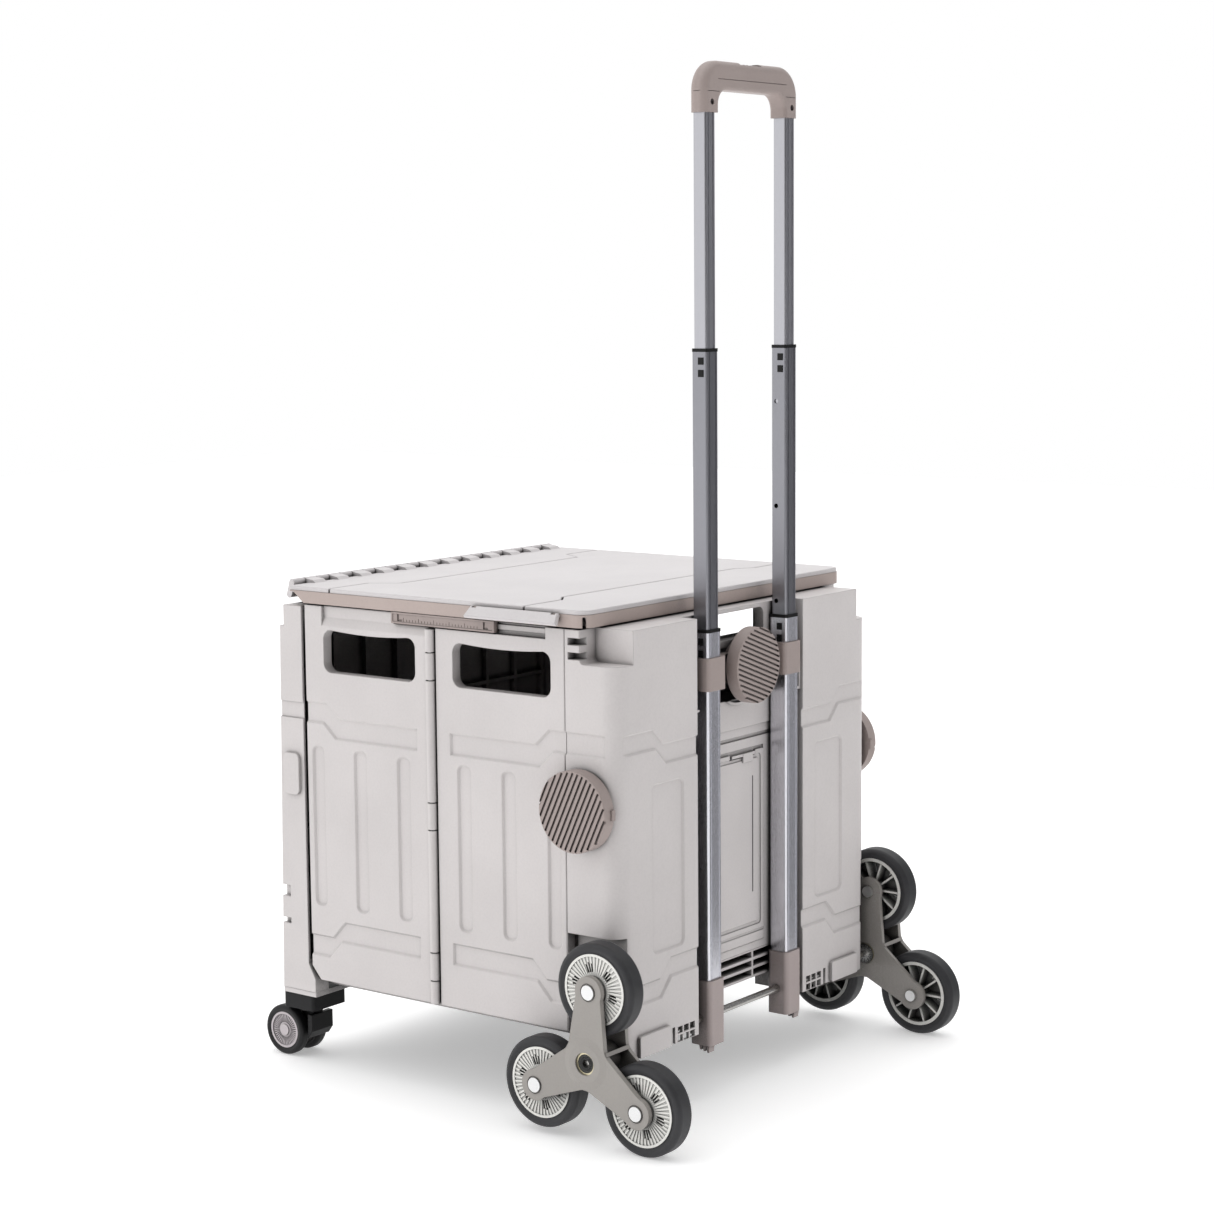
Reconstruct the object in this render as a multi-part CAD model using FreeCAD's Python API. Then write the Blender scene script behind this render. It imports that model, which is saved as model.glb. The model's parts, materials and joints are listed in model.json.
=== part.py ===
import FreeCAD, Part
import math
import os

# Stair climbing trolley: a folding crate on wheels with a telescoping handle.
# +X is the left-hand side, +Y the handle side (rear), +Z up; floor at Z = 0.
# Y is measured from the middle hinge of the side walls and shifted on export.

# ---- driving dimensions, mm ----
SIDE_X = 226.0            # outer face of a side wall
WALL = 12.0               # depth of a side wall half
INNER_X = SIDE_X - WALL   # inner face of a side wall
PIVOT_Y = 160.0           # end pivots of a side wall, front and rear of the middle hinge
HALF_REAR_END = 170.0
HALF_FRONT_END = 170.5
PANEL_Z0 = 94.5           # underside of the side walls
PANEL_Z1 = 490.0          # top of the side walls
SKIN = 4.0
BAND_DEPTH = 2.0
GROOVE_DEPTH = 2.2
DRAFT = 2.0              # width of the sloping sides of pressed recesses
BARREL_R = 5.0
PIN_R = 2.5
RUN_FIT = 0.05

REAR_Y0 = 172.5           # inner face of the rear frame
SEAM_Y = 170.6            # front edge of the corner blocks on the outside
REAR_Y1 = 233.0           # rear face of the two corner blocks
BLOCK_IN = 95.0           # inner side of a corner block
BLOCK_Z0 = 71.0
BLOCK_Z1 = 490.0
CORNER_R = 20.0
CENTRE_Y = 214.0          # rear face of the panel between the poles
CENTRE_Z0 = 128.0
MOULD = 3.0

FRONT_Y = -208.0          # outer face of the front wall
COLUMN_Y = -176.0         # rear side of the front corner columns
COLUMN_IN = 206.0
FRONT_Z1 = 488.0
FRONT_STEP_Z = 466.0
FRONT_STEP_Y = -201.0
FLANGE_Y = -213.0         # front edge of the foot flange; the columns lean out to it
FLANGE_Z0 = 73.5
FLANGE_Z1 = 79.0

LID_X = 228.0
LID_Y0 = -189.0
LID_Y1 = 197.0
LID_Z0 = 492.0
LID_Z1 = 509.0
SLAT_Z0 = 504.5
LID_R = 14.0
SEAM = 1.2
AXIS_A = (-202.0, 497.5)  # hinge line on the front wall, Y and Z
AXIS_B = (-198.0, 510.5)  # hinge line on the lid
KNUCKLE_R = 3.5
LID_PIN_R = 1.6
CELLS = 24
CELL = 18.0
CELL_GAP = 0.4

POLE_X = 70.0
POLE_Y = 226.0
OUTER = (22.6, 21.0)
MIDDLE = (19.6, 18.0)
INNER = (16.6, 15.0)
TUBE_WALL = 1.2
BOOT_Z0 = 49.0
BOOT_Z1 = 122.5
OUTER_TOP = 474.0
MIDDLE_Z0 = 410.0
MIDDLE_TOP = 750.0
INNER_Z0 = 690.0
HANDLE_Z0 = 980.0
HANDLE_Z1 = 1030.0

AXLE_R = 3.75
ARM_R = 70.0              # wheel pins from the axle
ARM_LEAN = 3.0            # the star rests turned this much towards the rear, degrees
TYRE_R = 45.0
AXLE_Z = TYRE_R + ARM_R * math.sin(math.radians(30 + ARM_LEAN))
WHEEL_X0 = 240.5
WHEEL_X1 = 262.5
PLATE_OUT = (266.0, 271.5)
PLATE_IN = (232.0, 236.5)
WHEEL_PIN_R = 4.0

CASTER_X = 197.0
CASTER_Y = -196.0
CASTER_TRAIL = 28.0
CASTER_R = 27.0

KNOB_R = 40.0
KNOB_Y = 191.0
KNOB_Z = 317.0
REAR_KNOB_R = 38.5
REAR_KNOB_Z = 433.0

FLOOR_AXIS = (166.5, 88.0)
FLOOR_HALF = 203.0
FLOOR_Y0 = -184.0

BAR_Y0 = -49.0
BAR_Y1 = 85.0
TRACK_Y1 = 147.0
REBATE_Z0 = 478.5
REBATE_DEPTH = 6.0
RELIEF = 3.6

FRONT_REACH = CASTER_Y - CASTER_TRAIL - CASTER_R
REAR_REACH = POLE_Y + ARM_R * math.cos(math.radians(30 + ARM_LEAN)) + TYRE_R
Y_SHIFT = -(FRONT_REACH + REAR_REACH) / 2

V = FreeCAD.Vector
X_AXIS, Y_AXIS, Z_AXIS = V(1, 0, 0), V(0, 1, 0), V(0, 0, 1)


# ---- shape helpers ----
def box(x0, x1, y0, y1, z0, z1):
    return Part.makeBox(x1 - x0, y1 - y0, z1 - z0, V(x0, y0, z0))


def rod_x(x0, x1, y, z, r):
    return Part.makeCylinder(r, x1 - x0, V(x0, y, z), X_AXIS)


def rod_y(y0, y1, x, z, r):
    return Part.makeCylinder(r, y1 - y0, V(x, y0, z), Y_AXIS)


def rod_z(z0, z1, x, y, r):
    return Part.makeCylinder(r, z1 - z0, V(x, y, z0), Z_AXIS)


def face_of(points):
    return Part.Face(Part.makePolygon(points + [points[0]]))


def prism_x(x0, x1, yz):
    return face_of([V(x0, y, z) for y, z in yz]).extrude(V(x1 - x0, 0, 0))


def prism_y(y0, y1, xz):
    return face_of([V(x, y0, z) for x, z in xz]).extrude(V(0, y1 - y0, 0))


def prism_z(z0, z1, xy):
    return face_of([V(x, y, z0) for x, y in xy]).extrude(V(0, 0, z1 - z0))


def join(parts):
    whole = parts[0]
    if len(parts) > 1:
        whole = parts[0].fuse(parts[1:])
    return whole.removeSplitter()


def cut(shape, tools):
    return shape.cut(Part.makeCompound(tools)) if tools else shape


def round_edges(shape, radius, pick):
    edges = [e for e in shape.Edges if pick(e)]
    return shape.makeFillet(radius, edges)


def along(axis):
    def pick(edge):
        if not isinstance(edge.Curve, Part.Line):
            return False
        return abs(edge.tangentAt(edge.FirstParameter).dot(axis)) > 0.999
    return pick


def rounded_box(x0, x1, y0, y1, z0, z1, radius, axis):
    return round_edges(box(x0, x1, y0, y1, z0, z1), radius, along(axis))


def inset(outline, distance):
    """Closed outline with every side moved inwards; corners stay sharp."""
    count = len(outline)
    area = sum(outline[i - 1][0] * outline[i][1] - outline[i][0] * outline[i - 1][1] for i in range(count))
    turn = 1 if area > 0 else -1
    normals = []
    for i in range(count):
        du = outline[(i + 1) % count][0] - outline[i][0]
        dv = outline[(i + 1) % count][1] - outline[i][1]
        size = math.hypot(du, dv) * turn
        normals.append((-dv / size, du / size))
    out = []
    for i in range(count):
        (a, b), (c, d) = normals[i - 1], normals[i]
        scale = distance / (1 + a * c + b * d)
        out.append((outline[i][0] + (a + c) * scale, outline[i][1] + (b + d) * scale))
    return out


def pressed(outline, axis, level, depth):
    """Cutter for a recess with sloping sides in the face at this level of the X or Y axis."""
    above = 0.5
    wires = []
    for height, grow in ((above, DRAFT * above / depth), (-depth, -DRAFT)):
        across = Y_AXIS if axis == X_AXIS else X_AXIS
        points = [axis * (level + height) + across * u + Z_AXIS * v for u, v in inset(outline, -grow)]
        wires.append(Part.makePolygon(points + points[:1]))
    return Part.makeLoft(wires, True, True)


def pressed_panel(low, high, z0, z1, radius, axis, level, depth):
    """The same kind of recess with round corners; low and high are across the face."""
    above = 0.5
    wires = []
    for height, grow in ((above, DRAFT * above / depth), (-depth, -DRAFT)):
        at = level + height
        a, b = low - grow, high + grow
        sides = (at, at + 1, a, b) if axis == X_AXIS else (a, b, at, at + 1)
        plate = rounded_box(*sides, z0 - grow, z1 + grow, radius + grow, axis)
        wires.append(min(plate.Faces, key=lambda f: f.CenterOfMass.dot(axis)).OuterWire)
    return Part.makeLoft(wires, True, True)


def mirror_x(shape):
    return shape.mirror(V(0, 0, 0), X_AXIS)


def both(shape):
    return Part.makeCompound([shape, mirror_x(shape)])


def save(name, shape):
    placed = shape.copy()
    placed.translate(V(0, Y_SHIFT, 0))
    placed.exportStep("parts/" + name + ".step")


def save_pair(name, shape):
    save(name + "_left", shape)
    save(name + "_right", mirror_x(shape))


# ---- side wall halves ----
RIB_ROWS = (103.0, 395.0)
WINDOW_Z = (421.5, 467.0)
WINDOW_SAG = 3.5
WINDOW_R = 10.0
BAND_W = 23.0
GROOVE_Z = (174.0, 344.0)
KNUCKLES_SHELL = ((98.0, 112.0), (236.0, 252.0), (404.0, 420.0))
MID_CUTS = (119.0, 148.0, 274.0, 302.0, 426.0, 454.0)
MID_TOP = 478.0
HINGE_SLOT = (2.4, 0.9)   # open slot beside the barrel, rear half and front half


def window(y0, y1):
    """Hand hole with round corners and a gently sagging upper edge."""
    z0, z1 = WINDOW_Z
    x0, depth = INNER_X - 1, WALL + 2
    top = Part.Arc(V(x0, y1, z1), V(x0, (y0 + y1) / 2, z1 - WINDOW_SAG), V(x0, y0, z1)).toShape()
    corners = [V(x0, y0, z1), V(x0, y0, z0), V(x0, y1, z0), V(x0, y1, z1)]
    sides = [Part.makeLine(a, b) for a, b in zip(corners, corners[1:])]
    hole = Part.Face(Part.Wire(sides + [top])).extrude(V(depth, 0, 0))
    return round_edges(hole, WINDOW_R, along(X_AXIS))


def band(near, bend, far, z_near, z_far):
    """Recessed ribbon along a wall half: level near the middle hinge, stepped at bend."""
    side = 1 if far > near else -1
    shift = side * 17
    outline = [
        (near, z_near), (bend, z_near), (bend + shift, z_far), (far, z_far),
        (far, z_far + BAND_W), (bend + shift - side * 5, z_far + BAND_W),
        (bend - side * 5, z_near + BAND_W), (near, z_near + BAND_W)]
    return pressed(outline, X_AXIS, SIDE_X, BAND_DEPTH)


def groove(y0, y1):
    z0, z1 = GROOVE_Z
    return pressed_panel(y0, y1, z0, z1, 7, X_AXIS, SIDE_X, GROOVE_DEPTH)


def inner_pockets(y0, y1):
    """Lightening pockets open to the crate's inside, with ribs left between them."""
    out = []
    count = 3
    pitch = (y1 - y0) / count
    levels = (RIB_ROWS[0], 200.0, 298.0, RIB_ROWS[1])
    for i in range(count):
        for j in range(len(levels) - 1):
            out.append(box(INNER_X - 1, SIDE_X - SKIN, y0 + i * pitch + 1.5, y0 + (i + 1) * pitch - 1.5,
                           levels[j] + 1.5, levels[j + 1] - 1.5))
    return out


def pivot_notches(pivot_y, end):
    """Room in a wall half for the lugs that carry its end pivot."""
    out = []
    side = 1 if end > 0 else -1
    for z0, z1 in KNUCKLES_SHELL:
        out.append(rod_z(z0 - 0.6, z1 + 0.6, INNER_X, pivot_y, BARREL_R + 1.0))
        y0, y1 = sorted((pivot_y, end + side))
        out.append(box(INNER_X - 6, INNER_X + 5.4, y0, y1, z0 - 0.6, z1 + 0.6))
    return out


def pivot_barrel(pivot_y):
    return rod_z(PANEL_Z0 + 0.5, PANEL_Z1 - 16, INNER_X, pivot_y, BARREL_R)


def mid_segments(first):
    """Barrel lengths of the middle hinge; the two halves take turns."""
    levels = (PANEL_Z0,) + MID_CUTS + (MID_TOP,)
    out = []
    for i in range(len(levels) - 1):
        if i % 2 == first:
            out.append((levels[i] + 0.6, levels[i + 1] - 0.6))
    return out


def half_blank(end, first, pivot_y):
    side = 1 if end > 0 else -1
    gap = 0.5
    y0, y1 = sorted((side * gap, end))
    body = box(INNER_X, SIDE_X, y0, y1, PANEL_Z0, PANEL_Z1)
    body = join([body, pivot_barrel(pivot_y)])
    tools = [rod_z(PANEL_Z0 - 1, PANEL_Z1 + 1, SIDE_X, 0, BARREL_R + 0.5)]
    slot_y0, slot_y1 = sorted((side * (BARREL_R - 1), side * (BARREL_R + HINGE_SLOT[first])))
    tools.append(box(SIDE_X - 3, SIDE_X + 1, slot_y0, slot_y1, PANEL_Z0 - 1, PANEL_Z1 + 1))
    tools += pivot_notches(pivot_y, end)
    tools.append(rod_z(PANEL_Z0 - 1, PANEL_Z1 + 1, INNER_X, pivot_y, PIN_R + RUN_FIT))
    return body, tools, side


def mid_barrels(side, first):
    parts = []
    for z0, z1 in mid_segments(first):
        web_y0, web_y1 = sorted((0.0, side * (BARREL_R + 3)))
        barrel = rod_z(z0, z1, SIDE_X, 0, BARREL_R)
        web = box(SIDE_X - 8, SIDE_X - 3.5, web_y0, web_y1, z0, z1)
        parts.append(join([barrel, web]))
    return parts


def rear_half():
    body, tools, side = half_blank(HALF_REAR_END, 0, PIVOT_Y)
    tools += inner_pockets(10, 150)
    tools.append(window(29, 153))
    tools.append(band(24, 138, HALF_REAR_END + 5, 352, 368))
    tools.append(band(24, 132, HALF_REAR_END + 5, 138, 120))
    for y0, y1 in ((33, 51), (90, 108), (147, 164)):
        tools.append(groove(y0, y1))
    tools.append(box(SIDE_X - REBATE_DEPTH, SIDE_X + 1, -1, TRACK_Y1, REBATE_Z0, PANEL_Z1 + 1))
    end = HALF_REAR_END
    tools.append(prism_z(PANEL_Z0 - 1, PANEL_Z1 + 1, [(SIDE_X - 1.2, end + 0.1), (SIDE_X + 0.1, end - 1.2),
                                                      (SIDE_X + 1, end - 1), (SIDE_X + 1, end + 1)]))
    body = cut(body, tools)
    body = join([body] + mid_barrels(side, 0))
    pin_hole = rod_z(PANEL_Z0 - 1, MID_TOP + 1, SIDE_X, 0, PIN_R)
    body = body.cut(pin_hole)
    rail = box(SIDE_X - REBATE_DEPTH, SIDE_X - 4.2, 8, TRACK_Y1, 483.0, 488.0)
    return join([body, rail])


def front_half():
    body, tools, side = half_blank(-HALF_FRONT_END, 1, -PIVOT_Y)
    tools += inner_pockets(-150, -10)
    tools.append(window(-145, -20))
    tools.append(band(-19, -131, -HALF_FRONT_END - 5, 352, 367))
    tools.append(band(-19, -128, -HALF_FRONT_END - 5, 138, 120))
    for y0, y1 in ((-164, -147), (-106, -88), (-47, -29)):
        tools.append(groove(y0, y1))
    # sloping relief that lets the folded bar of the rear half pass
    relief = [(SIDE_X + 1, REBATE_Z0 - 9), (SIDE_X, REBATE_Z0 - 9), (SIDE_X - RELIEF, REBATE_Z0),
              (SIDE_X - RELIEF, PANEL_Z1 + 1), (SIDE_X + 1, PANEL_Z1 + 1)]
    tools.append(prism_y(-TRACK_Y1, 1, relief))
    tools.append(box(INNER_X - 1, SIDE_X + 1, BAR_Y0 - 2, 1, REBATE_Z0, PANEL_Z1 + 1))
    foot = [(-HALF_FRONT_END - 1, PANEL_Z0 - 1), (-HALF_FRONT_END + 13, PANEL_Z0 - 1),
            (-HALF_FRONT_END - 1, PANEL_Z0 + 15)]
    tools.append(prism_x(INNER_X - 6, SIDE_X + 1, foot))
    body = cut(body, tools)
    body = join([body] + mid_barrels(side, 1))
    return body.cut(rod_z(PANEL_Z0 - 1, MID_TOP + 1, SIDE_X, 0, PIN_R + RUN_FIT))


def mid_pin():
    return rod_z(PANEL_Z0 + 0.5, MID_TOP - 0.5, SIDE_X, 0, PIN_R)


def pivot_lugs(pivot_y, wall_y):
    """Six lugs on a wall, three to a side, and the two pins pressed through them."""
    bore = rod_z(PANEL_Z0, PANEL_Z1, INNER_X, pivot_y, PIN_R)
    y0, y1 = sorted((pivot_y, wall_y))
    half = BARREL_R - 0.4
    out = [rod_z(KNUCKLES_SHELL[0][0], KNUCKLES_SHELL[-1][1] + 30, INNER_X, pivot_y, PIN_R)]
    for z0, z1 in KNUCKLES_SHELL:
        web = box(INNER_X - half, INNER_X + half, y0, y1, z0, z1)
        lug = join([rod_z(z0, z1, INNER_X, pivot_y, half), web])
        out.append(lug.cut(bore))
    return Part.makeCompound(out + [mirror_x(part) for part in out])


def lock_bar():
    """Sliding bar with a ruler face that bridges the middle hinge."""
    bar = box(SIDE_X - 3.7, SIDE_X + 2.5, BAR_Y0, BAR_Y1, 480.0, 491.5)
    tools = [box(SIDE_X + 1.9, SIDE_X + 3, BAR_Y0 + 2, BAR_Y1 - 2, 481.8, 489.8)]
    ticks = 25
    for i in range(ticks):
        y = BAR_Y0 + 16 + i * 4
        tall = 4.0 if i % 5 == 0 else 2.2
        tools.append(box(SIDE_X + 1.5, SIDE_X + 3, y, y + 0.6, 482.5, 482.5 + tall))
    for y in (BAR_Y0 + 8, BAR_Y1 - 14):
        tools.append(box(SIDE_X + 0.6, SIDE_X + 3, y, y + 2.4, 482.5, 489.5))
        tools.append(box(SIDE_X + 0.6, SIDE_X + 3, y, y + 6.0, 482.5, 484.5))
    # the track tongue runs in this groove
    tools.append(box(SIDE_X - REBATE_DEPTH, SIDE_X - 3.9 + 0.7, BAR_Y0 - 1, BAR_Y1 + 1, 482.5, 488.5))
    return cut(bar, tools)


# ---- rear frame ----
def block_outline():
    r = CORNER_R
    cx, cy = SIDE_X - r, REAR_Y1 - r
    mid = V(cx + r * math.cos(math.pi / 4), cy + r * math.sin(math.pi / 4), 0)
    corners = [V(cx, REAR_Y1, 0), V(BLOCK_IN, REAR_Y1, 0), V(BLOCK_IN, REAR_Y0, 0), V(SIDE_X - 6, REAR_Y0, 0),
               V(SIDE_X - 6, SEAM_Y, 0), V(SIDE_X, SEAM_Y, 0), V(SIDE_X, cy, 0)]
    edges = [Part.makeLine(a, b) for a, b in zip(corners, corners[1:])]
    edges.append(Part.Arc(V(SIDE_X, cy, 0), mid, V(cx, REAR_Y1, 0)).toShape())
    return Part.Face(Part.Wire(edges))


STEP_BLOCK = (147.0, 198.0, 71.5, 93.0)
REAR_PANEL = (118.0, 172.0, 168.0, 337.0)
REAR_BANDS = (
    ((235, 391), (167, 391), (150, 375), (86, 375), (86, 354), (148, 354), (165, 370), (235, 370)),
    ((235, 143), (159, 143), (142, 161), (86, 161), (86, 140), (140, 140), (157, 122), (235, 122)))
GRILLE = (102.0, 69.5, 10.4, 8.6)   # first cell's X and Z, and the two pitches


def rear_band(outline):
    """Recessed ribbon across the rear face, lower beside the poles than at the corner."""
    return pressed(outline, Y_AXIS, REAR_Y1, BAND_DEPTH)


def corner_block():
    face = block_outline()
    face.translate(V(0, 0, BLOCK_Z0))
    block = face.extrude(V(0, 0, BLOCK_Z1 - BLOCK_Z0))
    x0, x1, z0, z1 = STEP_BLOCK
    step = rounded_box(x0, x1, REAR_Y1 - MOULD, REAR_Y1 + 4, z0, z1, 2, Y_AXIS)
    hook = prism_y(REAR_Y1 - 7, REAR_Y1 - 3, [(BLOCK_IN + 1, 429), (BLOCK_IN - 3, 429), (BLOCK_IN - 3, 399),
                                              (BLOCK_IN - 8, 398), (BLOCK_IN - 8, 396), (BLOCK_IN + 1, 396)])
    block = join([block, step, hook])
    inner, outer = BLOCK_IN + MOULD, SIDE_X - MOULD
    tools = [box(inner, 197, REAR_Y0 + MOULD, REAR_Y1 - MOULD, BLOCK_Z0 + 45, BLOCK_Z1 - MOULD),
             box(inner, 208, REAR_Y0 + MOULD, REAR_Y1 - MOULD, BLOCK_Z0 - 1, 113),
             box(196, outer, REAR_Y0 + MOULD, 209, 197, 454)]
    # wheel arch, cut-away top corner with its shelf, and two vents beside the seam
    tools.append(box(212, SIDE_X + 1, SEAM_Y - 1, REAR_Y1 + 1, BLOCK_Z0 - 1, 193))
    tools.append(rounded_box(200, SIDE_X + 20, 188, REAR_Y1 + 20, 457, BLOCK_Z1 + 20, 5, X_AXIS))
    for z in (461, 475):
        tools.append(box(214, SIDE_X + 1, REAR_Y0 + 1.5, 189, z, z + 7))
    # recessed bands carried round from the side wall to the rear face
    side_band = [(SEAM_Y - 6, 368), (218, 368), (218, 391), (SEAM_Y - 6, 391)]
    tools.append(pressed(side_band, X_AXIS, SIDE_X, BAND_DEPTH))
    tools += [rear_band(outline) for outline in REAR_BANDS]
    # long shallow panel in the rear face
    x0, x1, z0, z1 = REAR_PANEL
    tools.append(pressed_panel(x0, x1, z0, z1, 8, Y_AXIS, REAR_Y1, BAND_DEPTH))
    # vent grille and slot by the pole foot
    x0, z0, pitch_x, pitch_z = GRILLE
    for i in range(3):
        for j in range(2):
            x = x0 + i * pitch_x
            z = z0 + j * pitch_z
            tools.append(box(x, x + pitch_x - 2.2, REAR_Y1 - MOULD - 1, REAR_Y1 + 1, z + 2, z + pitch_z))
    tools.append(box(135.5, 140, REAR_Y1 - MOULD - 1, REAR_Y1 + 1, BLOCK_Z0 - 1, 88))
    tools.append(rod_x(BLOCK_IN - 1, SIDE_X + 1, POLE_Y, AXLE_Z, AXLE_R))
    return cut(block, tools)


HAND_HOLE = (50.0, 458.0, 486.0)
HOLE_PLATE = 11.0         # thickness of the rear wall round the hand hole


def corner_blocks():
    """The two rear corners, each with the bored seat of its side knob."""
    seat = rod_x(SIDE_X - 4, SIDE_X + 3, KNOB_Y, KNOB_Z, 15)
    bore = rod_x(SIDE_X - 5, SIDE_X + 4, KNOB_Y, KNOB_Z, 6 + RUN_FIT)
    return both(join([corner_block(), seat]).cut(bore))


LOWER_HOLLOW_TOP = 345    # hollow of the moulding behind the lower panel
UPPER_HOLLOW_FOOT = 454   # hollow round the hand hole


def rear_wall():
    wall = box(-BLOCK_IN, BLOCK_IN, REAR_Y0, CENTRE_Y, CENTRE_Z0, BLOCK_Z1)
    side = BLOCK_IN - MOULD
    half, z0, z1 = HAND_HOLE
    tools = [box(-side, side, REAR_Y0 + MOULD, CENTRE_Y - MOULD - 3, CENTRE_Z0 - 1, LOWER_HOLLOW_TOP)]
    tools.append(rounded_box(-half, half, REAR_Y0 - 1, CENTRE_Y + 1, z0, z1, 8, Y_AXIS))
    upper_top = BLOCK_Z1 - MOULD
    tools.append(box(-side, side, REAR_Y0 - 1, CENTRE_Y - HOLE_PLATE, UPPER_HOLLOW_FOOT, upper_top))
    # pocket behind the rear knob, the ledge under it and the recess of the cover
    tools.append(box(-48, 48, REAR_Y0 + MOULD, CENTRE_Y + 1, 396, 451))
    tools.append(box(-BLOCK_IN - 1, BLOCK_IN + 1, CENTRE_Y - 2, CENTRE_Y + 1, CENTRE_Z0 - 1, 365))
    tools.append(box(-BLOCK_IN - 1, BLOCK_IN + 1, CENTRE_Y - 4, CENTRE_Y + 1, 352, 356))
    tools.append(box(-52, 52, CENTRE_Y - 3.5, CENTRE_Y + 1, 136, 342))
    ring_r = REAR_KNOB_R + 4
    collar = rod_y(CENTRE_Y - 1, CENTRE_Y + 3, 0, REAR_KNOB_Z, ring_r)
    collar = collar.cut(rod_y(CENTRE_Y - 2, CENTRE_Y + 4, 0, REAR_KNOB_Z, ring_r - 2.5))
    collar = collar.common(box(-ring_r, ring_r, CENTRE_Y - 1, CENTRE_Y + 3, 380, 396))
    return join([cut(wall, tools), collar])


def centre_cover():
    """Latched cover between the poles, with a raised field and a catch at its top edge."""
    face = CENTRE_Y - 1.0
    cover = rounded_box(-51.5, 51.5, CENTRE_Y - 3.5, face, 136.5, 338.5, 3, Y_AXIS)
    tools = [rounded_box(-46, 46, face - 1.0, face + 1, 154, 334, 4, Y_AXIS),
             box(-36, 10, CENTRE_Y - 4, face + 1, 333, 340),
             box(-51.5, 51.5, face - 0.8, face + 1, 146, 149)]
    field = rounded_box(-42, 42, CENTRE_Y - 3.5, face, 158, 330, 4, Y_AXIS)
    groove_line = box(-32, -30, face - 1.0, face + 1, 190, 312)
    catch = box(-34, 8, CENTRE_Y - 3.4, face + 1.2, 334.5, 337.5)
    lever = box(-30, -12, CENTRE_Y - 3.4, face + 1.6, 328, 337.5)
    return join([cut(cover, tools), cut(field, [groove_line]), catch, lever])


def floor_rail():
    """Shelved ledge under the rear wall that carries the floor hinge."""
    z_top = CENTRE_Z0 - 0.2
    rail = box(-BLOCK_IN, BLOCK_IN, REAR_Y0, CENTRE_Y - 2, 98, z_top)
    tools = []
    bays = 3
    pitch = 2 * BLOCK_IN / bays
    for i in range(bays):
        x = -BLOCK_IN + i * pitch
        for z in (100.5, 110.0, 119.5):
            tools.append(box(x + 1.5, x + pitch - 1.5, REAR_Y0 + 4, CENTRE_Y + 1, z, z + 6.5))
    rail = cut(rail, tools)
    y, z = FLOOR_AXIS
    ears = []
    for x in (-80.0, 0.0, 80.0):
        ear = join([rod_x(x - 8, x + 8, y, z, 3.2), box(x - 8, x + 8, y, REAR_Y0 + 8, z - 3.2, z + 3.2),
                    box(x - 8, x + 8, REAR_Y0 + 1, REAR_Y0 + 8, z, 100)])
        ears.append(ear)
    return join([rail] + ears)


def floor_panel():
    """Drop-in floor: ribbed plate hinged along the foot of the rear wall."""
    y, z = FLOOR_AXIS
    plate = box(-FLOOR_HALF, FLOOR_HALF, FLOOR_Y0, y - 4.5, z - 3.5, z + 4.5)
    tools = []
    nx, ny = 8, 7
    px, py = 2 * (FLOOR_HALF - 4) / nx, (y - 14 - FLOOR_Y0) / ny
    for i in range(nx):
        for j in range(ny):
            x0 = -FLOOR_HALF + 4 + i * px
            y0 = FLOOR_Y0 + 4 + j * py
            tools.append(box(x0 + 1, x0 + px - 1, y0 + 1, y0 + py - 1, z - 4.5, z + 2))
    plate = cut(plate, tools)
    knuckles = []
    for x0, x1 in ((-FLOOR_HALF, -90.0), (-70.0, -10.0), (10.0, 70.0), (90.0, FLOOR_HALF)):
        knuckles.append(join([rod_x(x0, x1, y, z, 3.5), box(x0, x1, y - 6, y, z - 3.5, z + 3.5)]))
    whole = join([plate] + knuckles)
    for x in (-80.0, 0.0, 80.0):
        whole = whole.cut(box(x - 9, x + 9, y - 9, y + 5, z - 5, z + 5))
    return whole


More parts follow.
